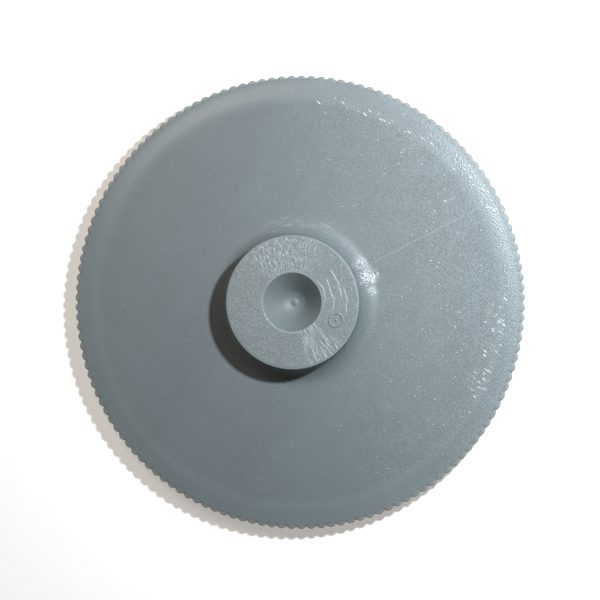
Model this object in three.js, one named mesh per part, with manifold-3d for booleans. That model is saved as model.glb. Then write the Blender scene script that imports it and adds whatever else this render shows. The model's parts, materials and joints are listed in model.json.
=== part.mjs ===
// Low-profile banding wheel: a moulded wheel head with a toothed rim, turning on a ring of steel balls
// over a base that nests inside its skirt. Millimetres, +Z up. The origin is at the middle of the
// underside, on the surface that the feet stand on.

import * as THREE from 'three';
import { mergeVertices } from 'three/addons/utils/BufferGeometryUtils.js';
import Module from 'manifold-3d';

const wasm = await Module();
wasm.setup();

// Clearances
const seatGap = 0.3; // between a part and the seat it rests in
const runGap = 0.2; // between parts that turn on each other
const webBite = 0.3; // how far a web runs into the wall that it joins

// Wheel head: outside
const rimRadius = 90; // to the crests of the rim teeth
const toothCount = 140;
const toothDepth = 1;
const skirtBottom = 1.5;
const faceHeight = 8.8; // the flat work face
const flatRadius = 78; // where the face starts to fall away
const rimDrop = 0.8; // how far it has fallen at the rim's rounded edge
const edgeRound = 1;

// Wheel head: raised boss and its conical centring socket
const bossRadius = 26.2;
const bossHeight = 11.5; // above the work face
const bossFillet = 7.2;
const bossEdge = 0.5;
const socketRadius = 11.65;
const socketSlope = 45; // degrees
const socketDish = 7; // radius of its rounded bottom

// Wheel head: underside
const skirtInner = 86;
const faceUnderside = 6.6;
const spigotRadius = 6;
const spigotBottom = 4.2;
const coreRadius = 22.7; // hollow under the boss
const coreTop = 16.9;
const cornerBevel = 1;
const webThickness = 1.6;
const coreWebBottom = 12.4;
const coreWebs = 6;
const faceWebs = 12;
const faceWebBottom = 5.6;

// Ball bearing
const pitchRadius = 60;
const ballCount = 16;
const ballRadius = 1.25;
const raceWidth = 8;
const raceThickness = 0.7;
const grooveRadius = 1.7;
const grooveDepth = 0.3;
const locatorWidth = 1.5;
const locatorHeight = 1;
const cageWidth = 7;
const cageThickness = 1;

// Base
const baseBottom = 0.7;
const baseFloor = 2.5;
const baseRadius = 82;
const lipThickness = 2.2;
const lipTop = 5;
const hubOuter = 11.5;
const hubTop = 9;
const pocketRadius = 8.8; // for the pivot's washers
const pocketTop = 5;
const baseWebs = 10;
const baseWebTop = 3.9;
const hubWebTop = 7.4;

// Pivot
const bushInner = spigotRadius + 0.25;
const bushOuter = 7.5;
const bushFlangeRadius = 10;
const bushFlange = 1;
const screwHeadRadius = 4.5;
const screwHeadBottom = 1.9;
const screwHeadTop = 3.2;
const screwTop = 8.5;
const screwBevel = 0.6;
const shankRadius = 2.3;
const driveAcross = 3; // hexagon socket, across flats
const driveDepth = 0.9;
const insertRadius = 3.5;
const insertBore = shankRadius + 0.25;
const insertLength = 4.4;
const insertGroove = 0.4; // depth of the groove round its middle
const washerThickness = 0.6;
const thrustWasherInner = spigotRadius + 0.5;
const thrustWasherOuter = pocketRadius - 0.4;
const retainingWasherInner = shankRadius + 0.4;
const retainingWasherOuter = pocketRadius - 0.6;
const capRadius = 9;
const capThickness = 0.8;
const capLift = 0.1; // of its face above the base's underside
const capBevel = 0.3;

// Feet
const footCount = 5;
const footCircle = 70;
const footRadius = 6;
const footPadTop = 0.9;
const footBevel = 0.4;
const footSeatDepth = 0.5;
const stemRadius = 2;
const barbRadius = 2.9;
const barbTop = 3.5;

// Facets round each kind of part
const headFacets = 60;
const baseFacets = 48;
const raceFacets = 48;
const smallFacets = 24;
const pocketFacets = 10;
const footFacets = 12;

// Heights worked out from the dimensions above
const bossTop = faceHeight + bossHeight;
const slope = THREE.MathUtils.degToRad(socketSlope);
const dishEdge = socketDish * Math.sin(slope);
const dishCentre = bossTop - (socketRadius - dishEdge) * Math.tan(slope) + socketDish * Math.cos(slope);
const lowerRaceBottom = baseFloor + seatGap;
const lowerRaceTop = lowerRaceBottom + raceThickness;
const ballHeight = lowerRaceTop - grooveDepth + runGap + ballRadius;
const upperRaceBottom = ballHeight + ballRadius + runGap - grooveDepth;
const upperRaceTop = upperRaceBottom + raceThickness;

const materials = {
  mouldedGrey: new THREE.MeshStandardMaterial({ color: 0x7d8a8e, roughness: 0.5, metalness: 0 }),
  mouldedDark: new THREE.MeshStandardMaterial({ color: 0x3b4043, roughness: 0.6, metalness: 0 }),
  steel: new THREE.MeshStandardMaterial({ color: 0xb6b8ba, roughness: 0.25, metalness: 1 }),
  brass: new THREE.MeshStandardMaterial({ color: 0xb9964a, roughness: 0.35, metalness: 1 }),
  bronze: new THREE.MeshStandardMaterial({ color: 0x9a7142, roughness: 0.45, metalness: 1 }),
  nylon: new THREE.MeshStandardMaterial({ color: 0xe6e2d6, roughness: 0.5, metalness: 0 }),
  rubber: new THREE.MeshStandardMaterial({ color: 0x1d1e1f, roughness: 0.9, metalness: 0 }),
};

// A closed geometry as a solid that can be joined and cut.
function solid(geometry) {
  const bare = geometry.clone();
  bare.deleteAttribute('normal');
  bare.deleteAttribute('uv');
  const merged = mergeVertices(bare);
  const corners = merged.index.array;
  const kept = [];
  for (let i = 0; i < corners.length; i += 3) {
    const [a, b, c] = corners.slice(i, i + 3);
    if (a !== b && b !== c && c !== a) kept.push(a, b, c);
  }
  return new wasm.Manifold(new wasm.Mesh({
    numProp: 3,
    vertProperties: merged.attributes.position.array,
    triVerts: new Uint32Array(kept),
  }));
}

function geometryOf(body) {
  const mesh = body.getMesh();
  const geometry = new THREE.BufferGeometry();
  geometry.setAttribute('position', new THREE.BufferAttribute(mesh.vertProperties, 3));
  geometry.setIndex(new THREE.BufferAttribute(mesh.triVerts, 1));
  geometry.computeVertexNormals();
  return geometry;
}

// Turns a profile of [radius, height] points about Z. The points run anticlockwise with radius to the
// right and height up. A profile that starts off the axis is closed on itself.
function turned(profile, facets) {
  const points = profile.map(([radius, height]) => new THREE.Vector2(radius, height));
  if (profile[0][0] > 0) points.push(points[0].clone());
  return solid(new THREE.LatheGeometry(points, facets).rotateX(Math.PI / 2));
}

// An upright cylinder with the given middle.
function cylinder(radius, height, facets, x, y, z) {
  const round = new THREE.CylinderGeometry(radius, radius, height, facets).rotateX(Math.PI / 2);
  return solid(round.translate(x, y, z));
}

// Evenly spaced places on a circle, the first one turned by a share of the spacing.
function placesOnCircle(radius, count, offset = 0) {
  const places = [];
  for (let i = 0; i < count; i += 1) {
    const angle = ((i + offset) / count) * 2 * Math.PI;
    places.push([radius * Math.cos(angle), radius * Math.sin(angle)]);
  }
  return places;
}

function ballPlaces() {
  return placesOnCircle(pitchRadius, ballCount);
}

function footPlaces() {
  return placesOnCircle(footCircle, footCount, 0.25);
}

function ring(inner, outer, bottom, top, facets) {
  return turned([[inner, bottom], [outer, bottom], [outer, top], [inner, top]], facets);
}

// Points along a circular arc in a profile, with both ends.
function arc(centre, radius, from, to, steps) {
  const points = [];
  for (let i = 0; i <= steps; i += 1) {
    const angle = THREE.MathUtils.degToRad(from + ((to - from) * i) / steps);
    points.push([centre[0] + radius * Math.cos(angle), centre[1] + radius * Math.sin(angle)]);
  }
  return points;
}

// An outline in the plane of radius and height, made into a flat radial web and turned to its place.
function web(outline, thickness, angle) {
  const shape = new THREE.Shape(outline.map(([radius, height]) => new THREE.Vector2(radius, height)));
  const plate = new THREE.ExtrudeGeometry(shape, { depth: thickness, bevelEnabled: false });
  return solid(plate.translate(0, 0, -thickness / 2).rotateX(Math.PI / 2).rotateZ(angle));
}

function webs(outline, count, offset = 0) {
  const plates = [];
  for (let i = 0; i < count; i += 1) {
    plates.push(web(outline, webThickness, ((i + offset) / count) * 2 * Math.PI));
  }
  return plates;
}

// The rim's outline: rounded crests that meet in sharp valleys.
function toothOutline() {
  const stepsPerTooth = 3;
  const crest = Math.sin(Math.PI / stepsPerTooth);
  const points = [];
  for (let i = 0; i < toothCount * stepsPerTooth; i += 1) {
    const lift = Math.sin((Math.PI * (i % stepsPerTooth)) / stepsPerTooth) / crest;
    const radius = rimRadius - toothDepth * (1 - lift);
    const angle = (2 * Math.PI * i) / (toothCount * stepsPerTooth);
    points.push(new THREE.Vector2(radius * Math.cos(angle), radius * Math.sin(angle)));
  }
  return new THREE.Shape(points);
}

function locatorProfile(seat, locatorEnd) {
  const inner = pitchRadius - raceWidth / 2 - seatGap;
  const outer = pitchRadius + raceWidth / 2 + seatGap;
  return [
    [inner - locatorWidth, seat],
    [inner - locatorWidth, locatorEnd],
    [inner, locatorEnd],
    [inner, seat],
    [outer, seat],
    [outer, locatorEnd],
    [outer + locatorWidth, locatorEnd],
    [outer + locatorWidth, seat],
  ];
}

function headUnderside() {
  const seat = upperRaceTop + seatGap;
  return [
    [0, spigotBottom + insertLength + 2 * seatGap],
    [insertRadius + seatGap, spigotBottom + insertLength + 2 * seatGap],
    [insertRadius + seatGap, spigotBottom],
    [spigotRadius, spigotBottom],
    [spigotRadius, coreTop - (socketRadius - spigotRadius) * Math.tan(slope)],
    [socketRadius, coreTop],
    [coreRadius, coreTop],
    [coreRadius, faceUnderside + cornerBevel],
    [coreRadius + cornerBevel, faceUnderside],
    ...locatorProfile(seat, seat - locatorHeight),
    [skirtInner - cornerBevel, faceUnderside],
    [skirtInner, faceUnderside - cornerBevel],
    [skirtInner, skirtBottom],
  ];
}

function headTop() {
  const beyond = rimRadius + 1;
  const rollRun = rimRadius - edgeRound - flatRadius;
  const rollRadius = (rollRun ** 2 + rimDrop ** 2) / (2 * rimDrop);
  const rollAngle = THREE.MathUtils.radToDeg(Math.asin(rollRun / rollRadius));
  const filletCentre = [bossRadius + bossFillet, faceHeight + bossFillet];
  return [
    [beyond, skirtBottom],
    [beyond, faceHeight - rimDrop - edgeRound],
    [rimRadius, faceHeight - rimDrop - edgeRound * 0.6],
    ...arc([flatRadius, faceHeight - rollRadius], rollRadius, 90 - rollAngle, 90, 3),
    ...arc(filletCentre, bossFillet, 270, 180, 5),
    [bossRadius, bossTop - bossEdge],
    [bossRadius - bossEdge, bossTop],
    [socketRadius, bossTop],
    ...arc([0, dishCentre], socketDish, 270 + socketSlope, 270, 5),
  ];
}

function wheelHead() {
  const blank = turned([...headUnderside(), ...headTop()], headFacets);
  const outline = new THREE.ExtrudeGeometry(toothOutline(), { depth: bossTop + 1, bevelEnabled: false });
  const clearOfHub = hubOuter + 1.2;
  const coreWeb = [
    [spigotRadius + webBite, coreWebBottom],
    [clearOfHub, coreWebBottom],
    [clearOfHub, faceUnderside + 1.2 * cornerBevel],
    [coreRadius + webBite, faceUnderside + 1.2 * cornerBevel],
    [coreRadius + webBite, coreTop + webBite],
    [socketRadius, coreTop + webBite],
  ];
  const bearingInner = pitchRadius - raceWidth / 2 - seatGap - locatorWidth;
  const bearingOuter = pitchRadius + raceWidth / 2 + seatGap + locatorWidth;
  const faceWeb = (start, end) => [
    [start, faceWebBottom],
    [end, faceWebBottom],
    [end, faceUnderside + webBite],
    [start, faceUnderside + webBite],
  ];
  const innerWeb = faceWeb(coreRadius + 2 * cornerBevel, bearingInner + webBite);
  const outerWeb = faceWeb(bearingOuter - webBite, skirtInner + webBite);
  let head = blank.intersect(solid(outline));
  for (const plate of [
    ...webs(coreWeb, coreWebs, 0.5),
    ...webs(innerWeb, faceWebs, 0.5),
    ...webs(outerWeb, faceWebs, 0.5),
  ]) {
    head = head.add(plate);
  }
  return head;
}

function headInsert() {
  const bottom = spigotBottom + seatGap;
  const top = bottom + insertLength;
  const grooveBottom = bottom + insertLength * 0.4;
  const grooveTop = bottom + insertLength * 0.6;
  return turned([
    [insertBore, bottom],
    [insertRadius, bottom],
    [insertRadius, grooveBottom],
    [insertRadius - insertGroove, grooveBottom],
    [insertRadius - insertGroove, grooveTop],
    [insertRadius, grooveTop],
    [insertRadius, top],
    [insertBore, top],
  ], smallFacets);
}

// A race ring from below: its groove is an arc in the upper face.
function lowerRace() {
  const half = Math.sqrt(grooveRadius ** 2 - (grooveRadius - grooveDepth) ** 2);
  const swing = THREE.MathUtils.radToDeg(Math.asin(half / grooveRadius));
  const centre = [pitchRadius, lowerRaceTop - grooveDepth + grooveRadius];
  return turned([
    [pitchRadius - raceWidth / 2, lowerRaceBottom],
    [pitchRadius + raceWidth / 2, lowerRaceBottom],
    [pitchRadius + raceWidth / 2, lowerRaceTop],
    ...arc(centre, grooveRadius, 270 + swing, 270 - swing, 4),
    [pitchRadius - raceWidth / 2, lowerRaceTop],
  ], raceFacets);
}

function upperRace() {
  const flip = lowerRaceBottom + upperRaceTop;
  const mirrored = geometryOf(lowerRace()).rotateX(Math.PI).translate(0, 0, flip);
  return solid(mirrored);
}

function ballCage() {
  const outline = new THREE.Shape();
  outline.absarc(0, 0, pitchRadius + cageWidth / 2, 0, 2 * Math.PI, false);
  const blank = new THREE.ExtrudeGeometry(outline, {
    depth: cageThickness,
    bevelEnabled: false,
    curveSegments: raceFacets,
  });
  const openings = [cylinder(pitchRadius - cageWidth / 2, 3 * cageThickness, raceFacets, 0, 0, 0)];
  for (const [x, y] of ballPlaces()) {
    openings.push(cylinder(ballRadius + seatGap, 3 * cageThickness, pocketFacets, x, y, 0));
  }
  let cage = solid(blank);
  for (const opening of openings) {
    cage = cage.subtract(opening);
  }
  return cage.translate([0, 0, ballHeight - cageThickness / 2]);
}

function basePlate() {
  const bore = bushOuter + 0.25;
  const blank = turned([
    [capRadius + seatGap, baseBottom],
    [baseRadius, baseBottom],
    [baseRadius, lipTop],
    [baseRadius - lipThickness, lipTop],
    [baseRadius - lipThickness, baseFloor],
    ...locatorProfile(baseFloor, baseFloor + locatorHeight).reverse(),
    [hubOuter + 1, baseFloor],
    [hubOuter, baseFloor + 1],
    [hubOuter, hubTop],
    [bore, hubTop],
    [bore, pocketTop],
    [pocketRadius, pocketTop],
    [pocketRadius, baseBottom + capThickness + seatGap],
    [capRadius + seatGap, baseBottom + capThickness + seatGap],
  ], baseFacets);
  const bearingInner = pitchRadius - raceWidth / 2 - seatGap - locatorWidth;
  const floorWeb = [
    [hubOuter - webBite, baseFloor - webBite],
    [bearingInner + webBite, baseFloor - webBite],
    [bearingInner + webBite, baseFloor + locatorHeight],
    [hubOuter + 6, baseWebTop],
    [hubOuter + 1.5, hubWebTop],
    [hubOuter - webBite, hubWebTop],
  ];
  let base = blank;
  for (const plate of webs(floorWeb, baseWebs)) {
    base = base.add(plate);
  }
  for (const [x, y] of footPlaces()) {
    base = base.subtract(cylinder(footRadius + seatGap, 2 * footSeatDepth, footFacets, x, y, baseBottom));
    base = base.subtract(cylinder(stemRadius + seatGap, 2 * baseFloor, footFacets, x, y, baseFloor));
  }
  return base;
}

function pivotBush() {
  const bottom = pocketTop + seatGap;
  const flangeBottom = hubTop + runGap;
  return turned([
    [bushInner, bottom],
    [bushOuter, bottom],
    [bushOuter, flangeBottom],
    [bushFlangeRadius, flangeBottom],
    [bushFlangeRadius, flangeBottom + bushFlange],
    [bushInner, flangeBottom + bushFlange],
  ], smallFacets);
}

function pivotScrew() {
  const body = turned([
    [0, screwHeadBottom],
    [screwHeadRadius - screwBevel, screwHeadBottom],
    [screwHeadRadius, screwHeadBottom + screwBevel],
    [screwHeadRadius, screwHeadTop],
    [shankRadius, screwHeadTop],
    [shankRadius, screwTop - screwBevel],
    [shankRadius - screwBevel, screwTop],
    [0, screwTop],
  ], smallFacets);
  const drive = cylinder(driveAcross / Math.sqrt(3), 2 * driveDepth, 6, 0, 0, screwHeadBottom);
  return body.subtract(drive);
}

function pivotCap() {
  const bottom = baseBottom + capLift;
  return turned([
    [0, bottom],
    [capRadius - capBevel, bottom],
    [capRadius, bottom + capBevel],
    [capRadius, bottom + capThickness],
    [0, bottom + capThickness],
  ], smallFacets);
}

function foot() {
  const barbBottom = baseFloor + runGap;
  return turned([
    [0, 0],
    [footRadius - footBevel, 0],
    [footRadius, footBevel],
    [footRadius, footPadTop],
    [stemRadius, footPadTop],
    [stemRadius, barbBottom],
    [barbRadius, barbBottom],
    [stemRadius - footBevel, barbTop],
    [0, barbTop],
  ], footFacets);
}

const wheel = new THREE.Group();

function place(name, body, material, position = [0, 0, 0]) {
  const mesh = new THREE.Mesh(geometryOf(body), materials[material].clone());
  mesh.name = name;
  mesh.position.set(...position);
  wheel.add(mesh);
}

function ball() {
  return solid(new THREE.SphereGeometry(ballRadius, 10, 6).rotateX(Math.PI / 2));
}

function thrustWasher() {
  const top = pocketTop - runGap;
  return ring(thrustWasherInner, thrustWasherOuter, top - washerThickness, top, smallFacets);
}

function retainingWasher() {
  const bottom = screwHeadTop + runGap;
  const top = spigotBottom - runGap;
  return ring(retainingWasherInner, retainingWasherOuter, bottom, top, smallFacets);
}

place('wheel_head', wheelHead(), 'mouldedGrey');
place('head_insert', headInsert(), 'brass');
place('upper_race', upperRace(), 'steel');
place('ball_cage', ballCage(), 'nylon');
ballPlaces().forEach(([x, y], i) => {
  place(`ball_${String(i + 1).padStart(2, '0')}`, ball(), 'steel', [x, y, ballHeight]);
});
place('lower_race', lowerRace(), 'steel');
place('base_plate', basePlate(), 'mouldedDark');
place('pivot_bush', pivotBush(), 'bronze');
place('thrust_washer', thrustWasher(), 'nylon');
place('retaining_washer', retainingWasher(), 'steel');
place('pivot_screw', pivotScrew(), 'steel');
place('pivot_cap', pivotCap(), 'mouldedDark');
footPlaces().forEach(([x, y], i) => {
  place(`foot_${i + 1}`, foot(), 'rubber', [x, y, 0]);
});

export default wheel;
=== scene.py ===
"""Looks of a low-profile banding wheel: fine meshes, materials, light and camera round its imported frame.

Profiles are in millimetres, as [radius, height] points that run anticlockwise with radius to the right
and height up. Meshes are made in metres, in the frame's own place.
"""

import json
import math
from types import SimpleNamespace

import bpy
import numpy as np
from mathutils import Matrix, Vector


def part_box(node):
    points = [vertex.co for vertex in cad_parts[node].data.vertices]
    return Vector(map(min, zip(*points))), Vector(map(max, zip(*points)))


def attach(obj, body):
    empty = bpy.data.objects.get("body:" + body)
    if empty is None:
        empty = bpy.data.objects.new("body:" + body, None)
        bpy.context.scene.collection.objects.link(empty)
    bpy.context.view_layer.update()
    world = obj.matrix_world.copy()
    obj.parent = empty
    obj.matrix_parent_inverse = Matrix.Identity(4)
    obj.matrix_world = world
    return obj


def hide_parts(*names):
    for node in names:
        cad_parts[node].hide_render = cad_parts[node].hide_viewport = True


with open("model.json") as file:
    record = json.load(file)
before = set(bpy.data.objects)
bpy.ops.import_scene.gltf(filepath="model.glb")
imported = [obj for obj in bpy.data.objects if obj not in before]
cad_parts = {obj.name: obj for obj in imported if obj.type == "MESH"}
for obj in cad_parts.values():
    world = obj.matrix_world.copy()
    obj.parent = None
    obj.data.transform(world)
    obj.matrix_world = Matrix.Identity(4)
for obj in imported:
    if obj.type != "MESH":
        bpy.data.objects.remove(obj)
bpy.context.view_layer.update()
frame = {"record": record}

MM = 0.001
mounts = {mount["name"]: mount for mount in frame["record"]["mounts"]}


def box_mm(node):
    """A node's lowest and highest corners in millimetres."""
    low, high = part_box(node)
    return Vector(low) / MM, Vector(high) / MM


# Places that the frame gives
HEAD_LOW, HEAD_HIGH = box_mm("wheel_head")
BASE_LOW, BASE_HIGH = box_mm("base_plate")
RIM = HEAD_HIGH.x  # radius to the crests of the rim teeth
SKIRT_BOTTOM = HEAD_LOW.z
FACE = mounts["work_face"]["pos_m"][2] / MM
BOSS_TOP = mounts["boss_face"]["pos_m"][2] / MM
BASE_BOTTOM, HUB_TOP = BASE_LOW.z, BASE_HIGH.z
BASE_RADIUS = BASE_HIGH.x

# Wheel head, outside
TEETH = 140
TOOTH_DEPTH = 1.0
FLAT_RADIUS = 78.0
RIM_DROP = 0.8
EDGE_ROUND = 0.8
BOSS_RADIUS = 26.2
BOSS_FILLET = 7.2
BOSS_EDGE = 0.45  # rounding of its upper edge
SOCKET_RADIUS = 11.65
SOCKET_SLOPE = 45  # degrees
SOCKET_DISH = 7.0  # radius of its rounded bottom
MOUTH_ROUND = 0.35
PIP_RADIUS = 2.0  # the small raised pip in the middle of the socket
PIP_HEIGHT = 0.5

# Wheel head, underside
SKIRT_INNER = 86.0
FACE_UNDER = 6.6
FACE_WEB_BOTTOM = 5.6
SPIGOT_RADIUS = 6.0
SPIGOT_BOTTOM = 4.2
CORE_RADIUS = 22.7
CORE_TOP = 16.9
CORE_WEB_BOTTOM = 12.4
CORE_WEBS = 6
FACE_WEBS = 12
WEB = 1.6
OVERLAP = 0.3  # how far a web or a mark reaches into what it joins

# Bearing
PITCH_RADIUS = 60.0
BALLS = 16
BALL_RADIUS = 1.25
GROOVE_RADIUS = 1.7
GROOVE_DEPTH = 0.3
RACE_WIDTH = 8.0
LOCATOR = 1.5
LOCATOR_HEIGHT = 1.0
CAGE_WIDTH = 7.0

# Base and pivot
BASE_FLOOR = 2.5
FIELD_STEP = 0.45  # depth of the shallow step in its underside
LIP = 2.2
LIP_TOP = 5.0
HUB_RADIUS = 11.5
POCKET_RADIUS = 8.8
POCKET_TOP = 5.0
CAP_RADIUS = 9.0
CAP_THICKNESS = 0.8
BUSH_RADIUS = 7.5
SHANK_RADIUS = 2.3
THREAD_PITCH = 0.8
THREAD_DEPTH = 0.38
SEAT_GAP = 0.3
BORE_GAP = 0.25  # between a bore and what sits in it
BASE_WEBS = 10
PAD_TOP = 0.9

# Feet and marks in the base's underside
FEET = 5
FOOT_SEAT_RADIUS = 6.3
FOOT_SEAT_DEPTH = 0.5
FOOT_HOLE_RADIUS = 2.3
STEM_RADIUS = 2.0
BARB_RADIUS = 2.9
EJECT_MARKS = 5
EJECT_CIRCLE = 40.0
EJECT_RADIUS = 2.5
EJECT_DEPTH = 0.12
CUT_START = 1.0  # how far outside the base a cutting tool starts

# Radii of the races' seats
SEAT_INNER = PITCH_RADIUS - RACE_WIDTH / 2 - SEAT_GAP
SEAT_OUTER = PITCH_RADIUS + RACE_WIDTH / 2 + SEAT_GAP

# Where the face rolls off towards the rim
ROLL_RUN = RIM - EDGE_ROUND - FLAT_RADIUS
ROLL_RADIUS = (ROLL_RUN ** 2 + RIM_DROP ** 2) / (2 * RIM_DROP)

# Marks in the head's skin. Azimuths are in degrees, radii and sizes in millimetres.
# The skin is painted paler towards the azimuth below. This is painted sheen from the key light's side,
# laid over the skin's own pale grain.
SHEEN_AZIMUTH = 12  # the side where the skin is palest
SHEEN_REACH = 70.0
# The tooth crests carry a pale painted reflection of the floor, turning browner away from the key light as
# painted shade. The azimuth below is the key light's side.
TIP_LIT_AZIMUTH = 45  # the side where the tooth tips are least brown
WELD_AZIMUTH = 27
MOULD_MARK_AZIMUTH = -22
MOULD_MARK_RADIUS = 18.6

# Curved lines on the boss: radius, middle azimuth, half width in degrees
BOSS_CURVES = [(13.9, 20, 16), (17.1, 12, 20), (20.6, 22, 14), (22.4, 2, 9)]

# Patches of the rough spot by the gate, where a painted highlight lies on the fillet: radius, azimuth,
# size, strength
GATE_PATCHES = [(30.5, 19, 4.4, 1.0), (29.6, 31, 3.6, 0.45), (30.6, 8, 2.8, 0.45)]

# Flecked stretches of the face, where glints are painted: middle azimuth and half width in degrees, radius
# and half breadth as shares of the rim's radius, and how thickly the flecks lie
FLECKED = [
    (64, 14, 0.89, 0.004, 0.7),
    (46, 5, 0.905, 0.012, 1.0),
    (32, 6, 0.95, 0.008, 1.0),
    (-12, 11, 0.875, 0.03, 1.0),
    (32, 1.6, 0.77, 0.06, 0.4),
]

# Camera: the picture's width in wheel radii, the lean in degrees and the place aimed at in millimetres
VIEW_WIDTH = 2.633
LEAN = 7.8
AIM = (1.75, 0.9, 10.0)

# The socket's cone and its rounded bottom
SLOPE = math.radians(SOCKET_SLOPE)
DISH_EDGE = SOCKET_DISH * math.sin(SLOPE)
DISH_CENTRE = BOSS_TOP - (SOCKET_RADIUS - DISH_EDGE) * math.tan(SLOPE) + SOCKET_DISH * math.cos(SLOPE)
SOCKET_BOTTOM = DISH_CENTRE - SOCKET_DISH


# ---- profiles and meshes


def arc(centre, radius, start, end, steps):
    """Points along a circular arc in a profile, angles in degrees."""
    angles = np.radians(np.linspace(start, end, steps + 1))
    return [(centre[0] + radius * math.cos(a), centre[1] + radius * math.sin(a)) for a in angles]


def between(first, last, count):
    """Points spaced evenly from first to last, leaving out those two."""
    return list(zip(np.linspace(first[0], last[0], count), np.linspace(first[1], last[1], count)))[1:-1]


def soften(points, radius=0.25, steps=3, closed=False):
    """The profile with every corner rounded. A point can carry its own radius as a third number."""
    count = len(points)
    result = []
    for i, point in enumerate(points):
        here = np.array(point[:2], float)
        reach = point[2] if len(point) > 2 else radius
        if not closed and i in (0, count - 1):
            result.append(tuple(here))
            continue
        before = np.array(points[i - 1][:2], float) - here
        after = np.array(points[(i + 1) % count][:2], float) - here
        near, far = np.linalg.norm(before), np.linalg.norm(after)
        cut = min(reach, 0.45 * near, 0.45 * far)
        turn = abs(before[0] * after[1] - before[1] * after[0]) / (near * far)
        if cut <= 0 or turn < 0.05:
            result.append(tuple(here))
            continue
        first, last = here + before / near * cut, here + after / far * cut
        for t in np.linspace(0, 1, steps + 1):
            result.append(tuple((1 - t) ** 2 * first + 2 * t * (1 - t) * here + t ** 2 * last))
    return result


def stitch(inner_start, inner_count, outer_start, outer_count):
    """Faces between two rings. One ring can have a whole number of times the other's points."""
    faces = []
    if inner_count == 1 or outer_count == 1:
        count = max(inner_count, outer_count)
        for i in range(count):
            j = (i + 1) % count
            if inner_count == 1:
                faces.append((inner_start, outer_start + j, outer_start + i))
            else:
                faces.append((inner_start + i, inner_start + j, outer_start))
        return faces
    count = min(inner_count, outer_count)
    split_inner, split_outer = inner_count // count, outer_count // count
    for i in range(count):
        a = [inner_start + (i * split_inner + k) % inner_count for k in range(split_inner + 1)]
        b = [outer_start + (i * split_outer + k) % outer_count for k in range(split_outer + 1)]
        if len(a) == len(b) == 2:
            faces.append((a[0], a[1], b[1], b[0]))
            continue
        long, short = (b, a) if len(b) > len(a) else (a, b)
        middle = (len(long) - 1) // 2
        fan = []
        for k in range(middle):
            fan.append((short[0], long[k + 1], long[k]))
        fan.append((short[0], short[1], long[middle]))
        for k in range(middle, len(long) - 1):
            fan.append((short[1], long[k + 1], long[k]))
        faces.extend(fan if long is b else [f[::-1] for f in fan])
    return faces


def turned(profile, counts, shape=None):
    """Vertices and faces of a profile turned about Z. counts is one number or one for each point.
    shape(radius, height, angles) may move a ring's points in or out and up or down."""
    closed = profile[0][0] > 1e-9
    if isinstance(counts, int):
        counts = [counts] * len(profile)
    vertices, faces, starts, sizes = [], [], [], []
    for (radius, height), count in zip(profile, counts):
        count = 1 if radius < 1e-9 else count
        angles = np.arange(count) * (2 * math.pi / count)
        radii, heights = np.full(count, float(radius)), np.full(count, float(height))
        if shape is not None and count > 1:
            radii, heights = shape(radii, heights, angles)
        starts.append(len(vertices))
        sizes.append(count)
        ring = np.stack([radii * np.cos(angles), radii * np.sin(angles), heights], axis=1)
        vertices.extend(map(tuple, ring))
    pairs = list(zip(range(len(profile) - 1), range(1, len(profile))))
    if closed:
        pairs.append((len(profile) - 1, 0))
    for a, b in pairs:
        faces.extend(stitch(starts[a], sizes[a], starts[b], sizes[b]))
    return vertices, faces


def mesh_object(name, vertices, faces, centre=(0, 0, 0)):
    """A mesh from vertices in millimetres, moved to centre, also in millimetres."""
    mesh = bpy.data.meshes.new(name)
    points = (np.array(vertices) + np.array(centre)) * MM
    mesh.from_pydata(points.tolist(), [], faces)
    mesh.validate()
    mesh.update()
    obj = bpy.data.objects.new(name, mesh)
    bpy.context.scene.collection.objects.link(obj)
    return obj


def turned_object(name, profile, counts, shape=None, centre=(0, 0, 0)):
    return mesh_object(name, *turned(profile, counts, shape), centre=centre)


def plate(outline, thickness, angle):
    """An upright plate: an outline of [radius, height] points, as thick as said, turned about Z."""
    count = len(outline)
    turn = np.array(Matrix.Rotation(angle, 3, "Z"))
    vertices = []
    for side in (-0.5, 0.5):
        vertices.extend((turn @ np.array((r, side * thickness, z))).tolist() for r, z in outline)
    faces = [tuple(range(count)), tuple(range(2 * count - 1, count - 1, -1))]
    for i in range(count):
        j = (i + 1) % count
        faces.append((j, i, i + count, j + count))
    return mesh_object("plate", vertices, faces)


def peg(radius, low, high, place, facets=48):
    """A plain round tool for cutting holes or adding pads."""
    profile = [(0, low), (radius, low), (radius, high), (0, high)]
    return turned_object("peg", profile, facets, centre=(*place, 0))


def webs(outline, count, offset=0.0):
    """Upright webs set evenly round the axis, the first one turned by a share of the spacing."""
    return [plate(outline, WEB, (i + offset) * 2 * math.pi / count) for i in range(count)]


def combine(obj, tools, operation):
    """Joins the tools to obj or cuts them from it, then removes them."""
    for tool in tools:
        modifier = obj.modifiers.new("combine", "BOOLEAN")
        modifier.operation = operation
        modifier.solver = "MANIFOLD"
        modifier.object = tool
    graph = bpy.context.evaluated_depsgraph_get()
    made = bpy.data.meshes.new_from_object(obj.evaluated_get(graph))
    obj.modifiers.clear()
    obj.data = made
    for tool in tools:
        bpy.data.objects.remove(tool)


def on_circle(radius, count, offset=0.0):
    """Evenly spaced places on a circle, the first one turned by a share of the spacing."""
    angles = (np.arange(count) + offset) * (2 * math.pi / count)
    return [(radius * math.cos(a), radius * math.sin(a)) for a in angles]


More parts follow.
